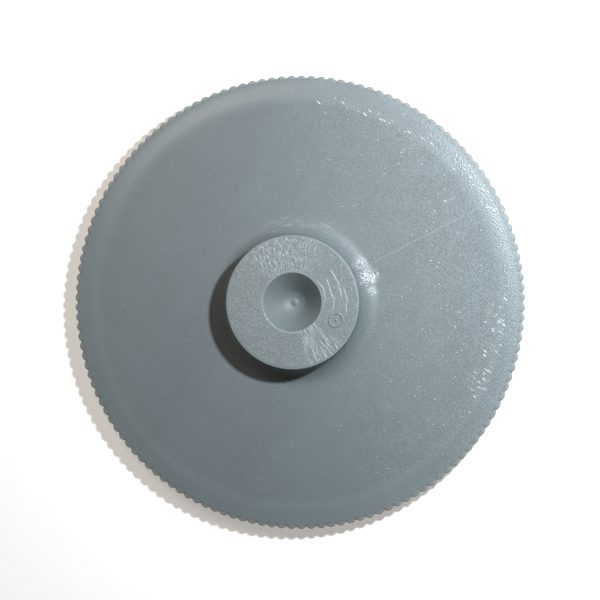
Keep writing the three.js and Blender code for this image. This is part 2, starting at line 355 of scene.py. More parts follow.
def lattice_noise(x, y, seed):
    """Smooth noise between -1 and 1 over a square lattice of random values."""
    values = np.random.default_rng(seed).uniform(-1, 1, (256, 256))
    x0, y0 = np.floor(x).astype(int), np.floor(y).astype(int)
    fx, fy = x - x0, y - y0
    fx, fy = fx * fx * (3 - 2 * fx), fy * fy * (3 - 2 * fy)
    low = values[x0 % 256, y0 % 256] * (1 - fx) + values[(x0 + 1) % 256, y0 % 256] * fx
    high = values[x0 % 256, (y0 + 1) % 256] * (1 - fx) + values[(x0 + 1) % 256, (y0 + 1) % 256] * fx
    return low * (1 - fy) + high * fy


def smooth_step(low, high, value):
    """0 up to low, 1 from high, and a smooth rise between."""
    t = np.clip((value - low) / (high - low), 0, 1)
    return t * t * (3 - 2 * t)


# ---- materials


class Shader:
    """A node material with one Principled shader, and short ways to add nodes to it."""

    def __init__(self, name, **constants):
        self.material = bpy.data.materials.new(name)
        self.material.use_nodes = True
        self.tree = self.material.node_tree
        self.surface = self.tree.nodes["Principled BSDF"]
        for socket, value in constants.items():
            self.surface.inputs[socket.replace("_", " ")].default_value = value

    def node(self, kind, inputs=None, **settings):
        node = self.tree.nodes.new("ShaderNode" + kind)
        for key, value in settings.items():
            setattr(node, key, value)
        for key, value in (inputs or {}).items():
            if isinstance(value, bpy.types.NodeSocket):
                self.tree.links.new(value, node.inputs[key])
            else:
                node.inputs[key].default_value = value
        return node

    def math(self, operation, a, b=0.0):
        return self.node("Math", {0: a, 1: b}, operation=operation).outputs[0]

    def times(self, first, *others):
        for other in others:
            first = self.math("MULTIPLY", first, other)
        return first

    def most(self, first, *others):
        for other in others:
            first = self.math("MAXIMUM", first, other)
        return first

    def position(self):
        """The place on the object in millimetres."""
        place = self.node("TexCoord").outputs["Object"]
        return self.node("Mapping", {"Vector": place, "Scale": (1 / MM, 1 / MM, 1 / MM)}).outputs[0]

    def polar(self):
        """Radius in millimetres, angle in radians and height in millimetres about the wheel's axis."""
        parts = self.node("SeparateXYZ", {0: self.position()}).outputs
        radius = self.math("POWER", self.math("ADD", self.squared(parts[0]), self.squared(parts[1])), 0.5)
        return radius, self.math("ARCTAN2", parts[1], parts[0]), parts[2]

    def squared(self, value):
        return self.times(value, value)

    def vector(self, x, y):
        return self.node("CombineXYZ", {0: x, 1: y}).outputs[0]

    def noise(self, place, scale, detail=2.0, roughness=0.5):
        inputs = {"Vector": place, "Scale": scale, "Detail": detail, "Roughness": roughness}
        return self.node("TexNoise", inputs).outputs[0]

    def remap(self, value, low, high, new_low=0.0, new_high=1.0, smooth=False):
        inputs = {"Value": value, "From Min": low, "From Max": high, "To Min": new_low, "To Max": new_high}
        kind = "SMOOTHSTEP" if smooth else "LINEAR"
        return self.node("MapRange", inputs, interpolation_type=kind).outputs[0]

    def band(self, value, middle, half_width, soft):
        """1 within half_width of the middle, falling to 0 over soft."""
        away = self.math("ABSOLUTE", self.math("SUBTRACT", value, middle))
        return self.remap(away, half_width, half_width + soft, 1.0, 0.0, smooth=True)

    def blend(self, factor, first, second):
        inputs = {0: factor, 6: first, 7: second}
        return self.node("Mix", inputs, data_type="RGBA").outputs[2]

    def bump(self, height, distance, normal=None):
        """A relief of the given depth in millimetres, over the one before it."""
        inputs = {"Height": height, "Distance": distance * MM, "Strength": 1.0}
        if normal is not None:
            inputs["Normal"] = normal
        return self.node("Bump", inputs).outputs[0]

    def feed(self, **sockets):
        """Links values to the Principled shader, and gives back the finished material."""
        for socket, value in sockets.items():
            self.tree.links.new(value, self.surface.inputs[socket.replace("_", " ")])
        return self.material


def colour(red, green, blue):
    return (red, green, blue, 1.0)


def sector(shader, angle, middle, half_width, soft):
    """1 within half_width of the middle azimuth, all in degrees, falling to 0 over soft."""
    return shader.band(angle, math.radians(middle), math.radians(half_width), math.radians(soft))


def streaks(shader, along, across, length, width, fill=0.5):
    """Short streaks of the given length and width in millimetres. A larger fill gives more of them."""
    place = shader.vector(shader.math("DIVIDE", along, length), shader.math("DIVIDE", across, width))
    return shader.remap(shader.noise(place, 1.0, 1.0), 1.02 - fill, 1.16 - fill)


def facing(shader, angle, azimuth):
    """1 at the azimuth, falling to -1 on the opposite side."""
    return shader.math("COSINE", shader.math("SUBTRACT", angle, math.radians(azimuth)))


def boss_marks(shader, place, radius, angle):
    """Flow marks on the boss's flat ring: radial streaks in two sectors, curved lines in a third and a
    speckle all over."""
    mean_radius = 18.0
    waver = shader.times(shader.noise(place, 0.35, 2.0), 1.6)
    arc_length = shader.math("ADD", shader.times(angle, mean_radius), waver)
    dashes = streaks(shader, radius, arc_length, length=2.6, width=0.55, fill=0.52)
    lines = streaks(shader, radius, arc_length, length=7.0, width=0.6, fill=0.54)
    marks = [
        shader.times(dashes, sector(shader, angle, 100, 22, 25)),
        shader.times(lines, sector(shader, angle, -58, 12, 10)),
    ]
    wavy_radius = shader.math("ADD", radius, shader.times(shader.noise(place, 0.22, 2.0), 2.4))
    for ring_radius, middle, half_width in BOSS_CURVES:
        curve = shader.band(wavy_radius, ring_radius, 0.1, 0.3)
        marks.append(shader.times(curve, sector(shader, angle, middle, half_width, 8)))
    speckle = shader.remap(shader.noise(place, 1.5, 1.0), 0.54, 0.7, 0.0, 0.4)
    return shader.most(*marks, speckle)


def fillet_ripples(shader, place, radius, angle):
    """Pale curved ripples in the skin on the fillet at the boss's far side."""
    mean_radius = 31.0
    waver = shader.times(shader.noise(place, 0.25, 2.0), 3.0)
    arc_length = shader.times(angle, mean_radius)
    wavy_radius = shader.math("ADD", radius, waver)
    lines = streaks(shader, arc_length, wavy_radius, length=5.0, width=0.6, fill=0.5)
    zone = shader.times(shader.band(radius, 31.5, 1.8, 2.2), sector(shader, angle, 86, 16, 20))
    return shader.times(lines, zone)


def glints(shader, place, zone):
    """Torn flecks in the skin, all lying one way, raised and also whitened as painted glints. They thin
    out where the zone fades.
    """
    lie = math.radians(42)
    tilted = shader.node("VectorRotate", {"Vector": place, "Angle": lie}, rotation_type="Z_AXIS")
    stretched = shader.node("Mapping", {"Vector": tilted.outputs[0], "Scale": (0.3, 1.05, 1.0)})
    cells = shader.node("TexVoronoi", {"Vector": stretched.outputs[0], "Scale": 1.0}).outputs
    fleck = shader.remap(cells["Distance"], 0.14, 0.36, 1.0, 0.0)
    chances = shader.node("SeparateXYZ", {0: cells["Color"]}).outputs
    chosen = shader.math("LESS_THAN", chances[0], shader.times(zone, 0.8))
    return shader.times(fleck, shader.remap(chances[1], 0.0, 0.8, 0.3, 1.0), chosen)


def flecked_zone(shader, place, radius, angle):
    """The stretches where the skin is flecked and glints are painted: four near the rim and a row beside
    the weld line.
    """
    patchy = shader.remap(shader.noise(place, 0.16, 2.0), 0.32, 0.5)
    stretches = []
    for middle, half_width, share, breadth, thickly in FLECKED:
        along = shader.band(radius, RIM * share, RIM * breadth, RIM * 0.025)
        across = sector(shader, angle, middle, half_width, half_width * 0.7)
        stretches.append(shader.times(along, across, thickly))
    return shader.times(shader.most(*stretches), patchy)


def patch(shader, place, radius, angle, middle_radius, azimuth, size):
    """1 well inside a ragged round patch on the face, falling to 0 at about its size in millimetres."""
    across = shader.math("SUBTRACT", radius, middle_radius)
    along = shader.times(shader.math("SUBTRACT", angle, math.radians(azimuth)), middle_radius)
    away = shader.math("POWER", shader.math("ADD", shader.squared(across), shader.squared(along)), 0.5)
    ragged = shader.math("ADD", away, shader.times(shader.noise(place, 0.45, 3.0, 0.6), size))
    return shader.remap(ragged, size * 0.8, size * 1.5, 1.0, 0.0)


def gate_zone(shader, place, radius, angle):
    """The rough spot on the boss's fillet where the moulding was fed. Its crackle is whitened there as a
    painted highlight of the key light on the fillet.
    """
    patches = []
    for middle_radius, azimuth, size, strength in GATE_PATCHES:
        one = patch(shader, place, radius, angle, middle_radius, azimuth, size)
        patches.append(shader.times(one, strength))
    return shader.most(*patches)


def weld_line(shader, place, radius, angle):
    """The faint raised line where two streams of plastic met, running out towards the rim."""
    turn = math.radians(WELD_AZIMUTH)
    inputs = {0: place, 1: (-math.sin(turn), math.cos(turn), 0.0)}
    across = shader.node("VectorMath", inputs, operation="DOT_PRODUCT").outputs["Value"]
    across = shader.math("ADD", across, shader.times(shader.noise(place, 0.12, 2.0), 1.2))
    line = shader.times(shader.band(across, 0.6, 0.12, 0.4), shader.band(radius, 60.0, 20.0, 12.0))
    return shader.times(line, sector(shader, angle, WELD_AZIMUTH, 6, 6))


def head_skin(shader):
    """What the head's colour, relief and shine share: textures, where each kind of mark lies, and where
    light is painted into the colour.
    """
    radius, angle, height = shader.polar()
    place = shader.position()
    # painted sheen: 0 at the middle, rising towards the key light's side
    painted_sheen_side = shader.remap(shader.times(radius, facing(shader, angle, SHEEN_AZIMUTH)), 0.0, SHEEN_REACH)

    on_top = shader.remap(height, BOSS_TOP - 0.6, BOSS_TOP - 0.2)
    inside_edge = shader.remap(radius, BOSS_RADIUS - 0.9, BOSS_RADIUS - 0.5, 1.0, 0.0)
    ring = shader.times(on_top, inside_edge)
    outer_edge = shader.band(radius, BOSS_RADIUS - 0.3, 0.1, 0.25)
    mouth_edge = shader.band(radius, SOCKET_RADIUS + 0.25, 0.1, 0.25)
    crest = shader.remap(radius, RIM - 1.5 * TOOTH_DEPTH, RIM - TOOTH_DEPTH)

    flecked = flecked_zone(shader, place, radius, angle)
    gate = gate_zone(shader, place, radius, angle)
    torn = shader.noise(place, 1.3, 2.0, 0.7)
    # painted glints: whitened speckle near the rim on the key light's side and in the flecked stretches
    glint_edge_band = shader.band(radius, RIM * 0.955, RIM * 0.012, RIM * 0.02)
    glint_edge_zone = shader.times(glint_edge_band, sector(shader, angle, 5, 40, 15))
    painted_sparkle = shader.remap(shader.noise(place, 1.7, 2.0, 0.6), 0.56, 0.66)
    # painted glints: sparse pale dots, more of them on the key light's side
    glint_dots = shader.remap(shader.noise(place, 1.2, 0.0), 0.83, 0.87)
    return SimpleNamespace(
        radius=radius,
        angle=angle,
        mottle=shader.noise(place, 0.03, 3.0),
        clouds=shader.noise(place, 0.12, 2.0),
        grain=shader.noise(place, 1.4, 2.0),
        fine=shader.noise(place, 2.3, 1.0),
        painted_sheen_side=painted_sheen_side,
        ring=ring,
        marks=shader.times(boss_marks(shader, place, radius, angle), ring),
        edges=shader.times(shader.most(outer_edge, mouth_edge), on_top),
        # painted reflection of the floor on the tooth crests
        tip_reflection=shader.times(crest, shader.remap(height, FACE - 2.2, FACE - 1.4)),
        flecks=glints(shader, place, flecked),
        gate=gate,
        torn=torn,
        # painted highlight: the gate's crackle, whitened
        crackle_glints=shader.times(shader.remap(torn, 0.47, 0.6), gate),
        painted_sparkle=shader.times(painted_sparkle, shader.most(flecked, glint_edge_zone)),
        weld=weld_line(shader, place, radius, angle),
        ripples=fillet_ripples(shader, place, radius, angle),
        glint_dots=shader.times(glint_dots, shader.remap(painted_sheen_side, 0.0, 1.0, 0.1, 0.8)),
    )


def head_tone(shader, skin):
    """The plain plastic's colour, with each kind of mark laid over it in turn. Some layers are painted
    light: a paler side, a pale rim band, glints and the tooth crests' tone.
    """
    deep, mid = colour(0.124, 0.147, 0.153), colour(0.137, 0.164, 0.171)
    tone = shader.blend(shader.remap(skin.mottle, 0.3, 0.7), deep, mid)
    # the pale grain is the skin's own; towards the key light's side it is painted stronger as painted
    # sheen
    side = shader.remap(skin.painted_sheen_side, 0.0, 1.0, 0.2, 1.0)
    paleness_and_sheen = shader.most(shader.times(skin.ring, 0.85), side)
    cloudy = shader.remap(skin.clouds, 0.35, 0.65, 0.75, 1.1)
    pale = shader.times(shader.remap(skin.grain, 0.3, 0.7), paleness_and_sheen, cloudy)
    # painted sheen: a paler band near the rim, where the rolled face catches the light
    painted_rim_sheen = shader.times(shader.band(skin.radius, RIM * 0.94, RIM * 0.02, RIM * 0.06), 0.3)
    # painted shade: the crests' painted reflection turns browner away from the key light
    tip_lit_side = shader.remap(facing(shader, skin.angle, TIP_LIT_AZIMUTH), -0.4, 0.4)
    tip_reflection_tone = shader.blend(tip_lit_side, colour(0.245, 0.228, 0.205), colour(0.25, 0.265, 0.262))
    layers = [
        (pale, colour(0.21, 0.253, 0.268)),
        (shader.times(skin.ring, 0.28), colour(0.24, 0.255, 0.25)),
        (painted_rim_sheen, colour(0.24, 0.28, 0.29)),
        (shader.times(skin.marks, 0.8), colour(0.32, 0.36, 0.37)),
        (shader.times(skin.painted_sparkle, 0.4), colour(0.5, 0.54, 0.55)),
        (shader.times(shader.most(skin.weld, skin.ripples), 0.4), colour(0.3, 0.34, 0.35)),
        (shader.times(skin.edges, 0.6), colour(0.26, 0.3, 0.31)),
        (skin.tip_reflection, tip_reflection_tone),
        # painted glints: crackle, dots and flecks whitened where light would glint on them
        (shader.most(skin.crackle_glints, skin.glint_dots, skin.flecks), colour(0.68, 0.72, 0.73)),
    ]
    for share, layer in layers:
        tone = shader.blend(share, tone, layer)
    return tone


def head_relief(shader, skin):
    """Fine grain all over, with the marks raised on it. Depths are in millimetres."""
    roughened = shader.most(skin.ring, shader.remap(skin.painted_sheen_side, 0.0, 1.0, 0.4, 0.9))
    normal = shader.bump(shader.times(skin.grain, roughened), 0.14)
    layers = [
        (skin.fine, 0.02),
        (skin.marks, 0.07),
        (skin.ripples, 0.06),
        (shader.times(skin.torn, skin.gate), 0.5),
        (skin.flecks, 0.15),
        (skin.weld, 0.1),
    ]
    for height, depth in layers:
        normal = shader.bump(height, depth, normal)
    return normal


def head_roughness(shader, skin):
    """A satin skin, glossier where it is torn, on the boss and where the face rolls off."""
    satin, glossy = 0.56, 0.28
    rolled_rim = shader.times(shader.band(skin.radius, RIM * 0.935, RIM * 0.015, RIM * 0.03), 0.7)
    shine = shader.most(skin.gate, skin.flecks, shader.times(skin.ring, 0.6), rolled_rim)
    return shader.remap(shine, 0.0, 1.0, satin, glossy)


def head_plastic():
    """Blue-grey moulded plastic with a fine skin, flow marks on the boss and flecks near the rim, with
    painted sheen, glints, reflection and shade in its colour.
    """
    shader = Shader("head_plastic", IOR=1.58)
    skin = head_skin(shader)
    return shader.feed(
        Base_Color=head_tone(shader, skin),
        Roughness=head_roughness(shader, skin),
        Normal=head_relief(shader, skin),
    )


def moulded_plastic(name, dark, light, roughness):
    """Matte moulding with a fine grain and a faint mottle."""
    shader = Shader(name, IOR=1.5)
    place = shader.position()
    mottle = shader.noise(place, 0.07, 3.0)
    grain = shader.noise(place, 2.2, 3.0)
    tone = shader.blend(shader.remap(mottle, 0.3, 0.7), dark, light)
    rough = shader.remap(grain, 0.3, 0.7, roughness - 0.06, roughness + 0.08)
    return shader.feed(Base_Color=tone, Roughness=rough, Normal=shader.bump(grain, 0.02))


def turned_metal(name, dark, light, roughness, closeness=6.0, depth=0.006):
    """Machined metal: fine rings left by turning, with a little tarnish."""
    shader = Shader(name, Metallic=1.0)
    radius, _, height = shader.polar()
    rings = shader.noise(shader.vector(radius, height), closeness, 2.0, 0.6)
    tarnish = shader.noise(shader.position(), 0.35, 4.0, 0.6)
    tone = shader.blend(shader.remap(tarnish, 0.35, 0.7), light, dark)
    rough = shader.remap(tarnish, 0.3, 0.7, roughness, roughness + 0.12)
    return shader.feed(Base_Color=tone, Roughness=rough, Normal=shader.bump(rings, depth))


def rubber():
    """Black rubber with a dull grain and a little dust."""
    shader = Shader("foot_rubber", IOR=1.5)
    place = shader.position()
    grain = shader.noise(place, 3.0, 4.0, 0.65)
    dust = shader.remap(shader.noise(place, 0.5, 3.0), 0.45, 0.75)
    tone = shader.blend(dust, colour(0.018, 0.018, 0.019), colour(0.05, 0.05, 0.052))
    rough = shader.remap(grain, 0.3, 0.7, 0.72, 0.9)
    return shader.feed(Base_Color=tone, Roughness=rough, Normal=shader.bump(grain, 0.04))


# Dark and light tone and roughness of each plain moulding
MOULDINGS = {
    "base_plastic": (colour(0.042, 0.047, 0.05), colour(0.056, 0.062, 0.066), 0.52),
    "cage_nylon": (colour(0.7, 0.67, 0.58), colour(0.8, 0.77, 0.69), 0.42),
}

# The same of each metal, and for the balls the closeness and depth of the rings left by turning
METALS = {
    "race_steel": (colour(0.42, 0.41, 0.4), colour(0.58, 0.58, 0.59), 0.24),
    "ball_steel": (colour(0.6, 0.6, 0.61), colour(0.7, 0.7, 0.71), 0.08, 2.0, 0.002),
    "screw_steel": (colour(0.4, 0.41, 0.43), colour(0.55, 0.56, 0.58), 0.3),
    "insert_brass": (colour(0.5, 0.33, 0.13), colour(0.74, 0.54, 0.24), 0.3),
    "bush_bronze": (colour(0.36, 0.2, 0.09), colour(0.56, 0.35, 0.17), 0.4),
}
MATERIALS = {"head_plastic": head_plastic()}
MATERIALS.update({name: moulded_plastic(name, *look) for name, look in MOULDINGS.items()})
MATERIALS.update({name: turned_metal(name, *look) for name, look in METALS.items()})
MATERIALS["foot_rubber"] = rubber()
NODE_SLOTS = {part["node"]: part["material_slot"] for part in frame["record"]["subparts"]}
NODE_BODIES = {}
for body, nodes in frame["record"]["behaviour"]["bodies"].items():
    NODE_BODIES.update(dict.fromkeys(nodes, body))


def finish_piece(obj, node, sharp=34):
    """Gives a fine mesh its shading, material, body and slot, in place of its CAD node. Edges that turn
    more than sharp degrees stay sharp."""
    mesh = obj.data
    mesh.shade_smooth()
    mesh.set_sharp_from_angle(angle=math.radians(sharp))
    mesh.materials.clear()
    mesh.materials.append(MATERIALS[NODE_SLOTS[node]])
    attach(obj, NODE_BODIES[node])
    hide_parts(node)


# ---- wheel head


def locators(seat, end):
    """The two low rings that hold a race between them, standing on the seat up or down to their end."""
    return [
        (SEAT_INNER - LOCATOR, seat),
        (SEAT_INNER - LOCATOR, end),
        (SEAT_INNER, end),
        (SEAT_INNER, seat),
        (SEAT_OUTER, seat),
        (SEAT_OUTER, end),
        (SEAT_OUTER + LOCATOR, end),
        (SEAT_OUTER + LOCATOR, seat),
    ]


def head_underside():
    """From the insert's hole, down the spigot, through the hollow core and out to the skirt."""
    insert_top = box_mm("head_insert")[1]
    seat = box_mm("upper_race")[1].z + SEAT_GAP
    hole = insert_top.x + SEAT_GAP
    hole_top = insert_top.z + SEAT_GAP
    points = [
        (0, hole_top),
        (hole, hole_top),
        (hole, SPIGOT_BOTTOM),
        (SPIGOT_RADIUS, SPIGOT_BOTTOM),
        (SPIGOT_RADIUS, CORE_TOP - (SOCKET_RADIUS - SPIGOT_RADIUS) * math.tan(SLOPE), 1.0),
        (SOCKET_RADIUS, CORE_TOP, 1.0),
        (CORE_RADIUS, CORE_TOP, 1.2),
        (CORE_RADIUS, FACE_UNDER, 1.6),
        *locators(seat, seat - LOCATOR_HEIGHT),
        (SKIRT_INNER, FACE_UNDER, 1.2),
        (SKIRT_INNER, SKIRT_BOTTOM),
        (RIM - TOOTH_DEPTH, SKIRT_BOTTOM),
    ]
    return soften(points)[:-1]


def head_rim():
    """From the skirt's lower edge, up the toothed wall and over its rounded upper edge."""
    behind_teeth = RIM - TOOTH_DEPTH - 1.0
    foot_round, foot_middle = 0.4, 0.12
    wall_top = FACE - RIM_DROP - EDGE_ROUND
    return [
        (behind_teeth, SKIRT_BOTTOM),
        (RIM - foot_round, SKIRT_BOTTOM),
        (RIM - foot_middle, SKIRT_BOTTOM + foot_middle),
        (RIM, SKIRT_BOTTOM + foot_round),
        (RIM, wall_top),
        *arc((RIM - EDGE_ROUND, wall_top), EDGE_ROUND, 12, 78, 5),
    ]


def head_face():
    """From the rim's rolled edge, across the flat and up the boss's fillet."""
    swing = math.degrees(math.asin(ROLL_RUN / ROLL_RADIUS))
    fillet_foot = BOSS_RADIUS + BOSS_FILLET
    rolled = arc((FLAT_RADIUS, FACE - ROLL_RADIUS), ROLL_RADIUS, 90 - swing, 90, 14)
    flat = between((FLAT_RADIUS, FACE), (fillet_foot, FACE), 16)
    fillet = arc((fillet_foot, FACE + BOSS_FILLET), BOSS_FILLET, 270, 180, 16)
    return rolled + flat + fillet


def socket_pip():
    """The small raised pip, standing on the socket's rounded bottom."""
    outermost = 0.94  # share of the pip's radius where its own points start
    points = []
    for share in np.linspace(outermost, 0, 12):
        radius = PIP_RADIUS * share
        swell = PIP_HEIGHT * (1 + math.cos(math.pi * share)) / 2
        height = swell + SOCKET_DISH - math.sqrt(SOCKET_DISH ** 2 - radius ** 2)
        points.append((radius, SOCKET_BOTTOM + height))
    return points


def head_boss():
    """From the boss's upper edge, across its flat ring and down the socket to its middle."""
    edge = arc((BOSS_RADIUS - BOSS_EDGE, BOSS_TOP - BOSS_EDGE), BOSS_EDGE, 0, 90, 4)
    top = between((BOSS_RADIUS - BOSS_EDGE, BOSS_TOP), (SOCKET_RADIUS + MOUTH_ROUND, BOSS_TOP), 48)
    mouth_centre = (SOCKET_RADIUS + MOUTH_ROUND / 2, BOSS_TOP - MOUTH_ROUND)
    mouth = arc(mouth_centre, MOUTH_ROUND, 90, 90 + SOCKET_SLOPE, 4)
    cone_end = (DISH_EDGE, DISH_CENTRE - SOCKET_DISH * math.cos(SLOPE))
    cone = between(mouth[-1], cone_end, 20)
    pip_edge = math.degrees(math.asin(PIP_RADIUS / SOCKET_DISH))
    dish = arc((0, DISH_CENTRE), SOCKET_DISH, 270 + SOCKET_SLOPE, 270 + pip_edge, 8)
    return edge + top + mouth + cone + dish + socket_pip()


def head_shape(radii, heights, angles):
    """Cuts the teeth into the rim and gives the boss its slight mould waviness."""
    tooth_wear, waviness = 0.08, 0.03
    wavy_azimuth, wavy_spread = 98, 16
    radius, height = radii[0], heights[0]
    if radius > SKIRT_INNER + 1.0:
        phase = angles * TEETH / (2 * math.pi)
        lift = np.abs(np.sin(math.pi * phase))
        wear = 1 + tooth_wear * lattice_noise(np.floor(phase), np.zeros_like(phase), 5)
        fade = smooth_step(RIM - 2.4, RIM - EDGE_ROUND, radius)
        radii = radii - TOOTH_DEPTH * wear * fade * (1 - lift)
        if radius < RIM - EDGE_ROUND - 0.01 and height > FACE - 2 * RIM_DROP:
            heights = FACE - ROLL_RADIUS + np.sqrt(ROLL_RADIUS ** 2 - (radii - FLAT_RADIUS) ** 2)
        return radii, heights
    if radius < BOSS_RADIUS - 0.5 and height > BOSS_TOP - 0.01:
        flow = lattice_noise(angles * 24 / math.pi, radii * 0.5, 7)
        spread = np.exp(-(((np.degrees(angles) - wavy_azimuth) / wavy_spread) ** 2))
        return radii, heights + waviness * flow * (0.25 + spread)
    return radii, heights


def core_web():
    """The outline of a web in the hollow under the boss."""
    past_hub = HUB_RADIUS + 1.2
    lowest = FACE_UNDER + 1.2
    return [
        (SPIGOT_RADIUS + OVERLAP, CORE_WEB_BOTTOM),
        (past_hub, CORE_WEB_BOTTOM),
        (past_hub, lowest),
        (CORE_RADIUS + OVERLAP, lowest),
        (CORE_RADIUS + OVERLAP, CORE_TOP + OVERLAP),
        (SOCKET_RADIUS, CORE_TOP + OVERLAP),
    ]


def face_webs():
    """Two rows of webs under the face: from the core to the race's seat, and from there to the skirt."""
    top = FACE_UNDER + OVERLAP
    result = []
    for start, end in [
        (CORE_RADIUS + 2, SEAT_INNER - LOCATOR + 0.2),
        (SEAT_OUTER + LOCATOR - 0.2, SKIRT_INNER + 0.4),
    ]:
        outline = [(start, FACE_WEB_BOTTOM), (end, FACE_WEB_BOTTOM), (end, top), (start, top)]
        result += webs(outline, FACE_WEBS, 0.5)
    return result


def mould_mark():
    """A plain raised ring with a dot in it, on the boss."""
    angle = math.radians(MOULD_MARK_AZIMUTH)
    place = (MOULD_MARK_RADIUS * math.cos(angle), MOULD_MARK_RADIUS * math.sin(angle), BOSS_TOP)
    sunk, raised = -OVERLAP, 0.28
    band = soften([(2.2, sunk), (3.1, sunk), (3.0, raised), (2.3, raised)], 0.16, 3, closed=True)
    dot = soften([(0, sunk), (0.62, sunk), (0.5, raised, 0.2), (0, 0.3)], 0.16, 3)
    return [
        turned_object("ring", band, 72, centre=place),
        turned_object("dot", dot, 32, centre=place),
    ]


def wheel_head():
    underside, rim = head_underside(), head_rim()
    profile = underside + rim + head_face() + head_boss()
    coarse, fine = TEETH * 3, TEETH * 12
    fine_rings = len(rim) + 3  # the rim's rings and the first ones of the face
    coarse_rings = len(profile) - len(underside) - fine_rings
    counts = [coarse] * len(underside) + [fine] * fine_rings + [coarse] * coarse_rings
    head = turned_object("turntable_head", profile, counts, head_shape)
    combine(head, webs(core_web(), CORE_WEBS, 0.5) + face_webs() + mould_mark(), "UNION")
    finish_piece(head, "wheel_head", sharp=38)


# ---- bearing


def race(node, piece):
    """A flat steel ring with the balls' groove in the face towards them."""
    low, high = box_mm(node)
    thickness = high.z - low.z
    half = math.sqrt(GROOVE_RADIUS ** 2 - (GROOVE_RADIUS - GROOVE_DEPTH) ** 2)
    swing = math.degrees(math.asin(half / GROOVE_RADIUS))
    groove_centre = (PITCH_RADIUS, thickness - GROOVE_DEPTH + GROOVE_RADIUS)
    groove = arc(groove_centre, GROOVE_RADIUS, 270 + swing, 270 - swing, 12)
    inner, outer = PITCH_RADIUS - RACE_WIDTH / 2, PITCH_RADIUS + RACE_WIDTH / 2
    corners = [(inner, 0), (outer, 0), (outer, thickness)]
    profile = soften(corners + groove + [(inner, thickness)], 0.15, 3, closed=True)
    if node == "upper_race":
        profile = [(r, thickness - z) for r, z in profile][::-1]
    ring = turned_object(piece, profile, 240, centre=(0, 0, low.z))
    finish_piece(ring, node)


def ball_cage():
    """A flat ring with a raised collar round each ball's pocket and two windows between the pockets."""
    collar_wall, collar_rise = 1.1, 0.35
    window_radius, window_places = 1.3, (0.35, 0.65)
    low, high = box_mm("ball_cage")
    middle = (low.z + high.z) / 2
    half = (high.z - low.z) / 2
    cut_low, cut_high = middle - 3, middle + 3
    inner, outer = PITCH_RADIUS - CAGE_WIDTH / 2, PITCH_RADIUS + CAGE_WIDTH / 2
    band = [(inner, -half), (outer, -half), (outer, half), (inner, half)]
    cage = turned_object("cage_ring", soften(band, 0.3, 3, closed=True), 192, centre=(0, 0, middle))
    collars, cuts = [], []
    for place in on_circle(PITCH_RADIUS, BALLS):
        collars.append(peg(BALL_RADIUS + collar_wall, middle - half, middle + half + collar_rise, place))
    combine(cage, collars, "UNION")
    for place in on_circle(PITCH_RADIUS, BALLS):
        cuts.append(peg(BALL_RADIUS + BORE_GAP, cut_low, cut_high, place))
    for offset in window_places:
        for place in on_circle(PITCH_RADIUS, BALLS, offset):
            cuts.append(peg(window_radius, cut_low, cut_high, place, 24))
    combine(cage, cuts, "DIFFERENCE")
    finish_piece(cage, "ball_cage")


def bearing_balls():
    latitudes = np.linspace(-math.pi / 2, math.pi / 2, 19)
    outline = [(BALL_RADIUS * math.cos(a), BALL_RADIUS * math.sin(a)) for a in latitudes]
    outline[0], outline[-1] = (0, -BALL_RADIUS), (0, BALL_RADIUS)
    for i in range(BALLS):
        node = f"ball_{i + 1:02d}"
        low, high = box_mm(node)
        ball = turned_object(f"bearing_{node}", outline, 36, centre=tuple((low + high) / 2))
        finish_piece(ball, node)


# ---- base, pivot and feet


def base_underside():
    """From the cap's seat outwards: a flat field with one wide, shallow recess round it."""
    field = [(24.0, 0), (25.0, FIELD_STEP), (56.0, FIELD_STEP), (57.0, 0)]
    return [(r, BASE_BOTTOM + z, 0.3) for r, z in field]


def foot_places():
    boxes = [box_mm(f"foot_{i + 1}") for i in range(FEET)]
    return [tuple(((low + high) / 2)[:2]) for low, high in boxes]


def base_profile():
    """From the cap's seat out along the underside, up to the lip, and back over the hub to the pocket."""
    bore = BUSH_RADIUS + BORE_GAP
    cap_seat = CAP_RADIUS + SEAT_GAP
    cap_ceiling = BASE_BOTTOM + CAP_THICKNESS + SEAT_GAP
    points = [
        (cap_seat, BASE_BOTTOM),
        *base_underside(),
        (BASE_RADIUS, BASE_BOTTOM, 0.7),
        (BASE_RADIUS, LIP_TOP, 0.5),
        (BASE_RADIUS - LIP, LIP_TOP, 0.5),
        (BASE_RADIUS - LIP, BASE_FLOOR, 0.8),
        *locators(BASE_FLOOR, BASE_FLOOR + LOCATOR_HEIGHT)[::-1],
        (HUB_RADIUS, BASE_FLOOR, 1.0),
        (HUB_RADIUS, HUB_TOP, 0.5),
        (bore, HUB_TOP),
        (bore, POCKET_TOP),
        (POCKET_RADIUS, POCKET_TOP),
        (POCKET_RADIUS, cap_ceiling),
        (cap_seat, cap_ceiling),
    ]
    return soften(points, 0.2, 3, closed=True)


def base_web():
    """The outline of a web from the hub to the race's inner locator, highest at the hub."""
    web_foot = BASE_FLOOR - OVERLAP
    hub_side = HUB_RADIUS - 0.4
    hub_end = HUB_TOP - 1.6
    far_end = SEAT_INNER - LOCATOR + OVERLAP
    return [
        (hub_side, web_foot),
        (far_end, web_foot),
        (far_end, BASE_FLOOR + 1.0),
        (HUB_RADIUS + 6, BASE_FLOOR + 1.4),
        (HUB_RADIUS + 1.5, hub_end),
        (hub_side, hub_end),
    ]


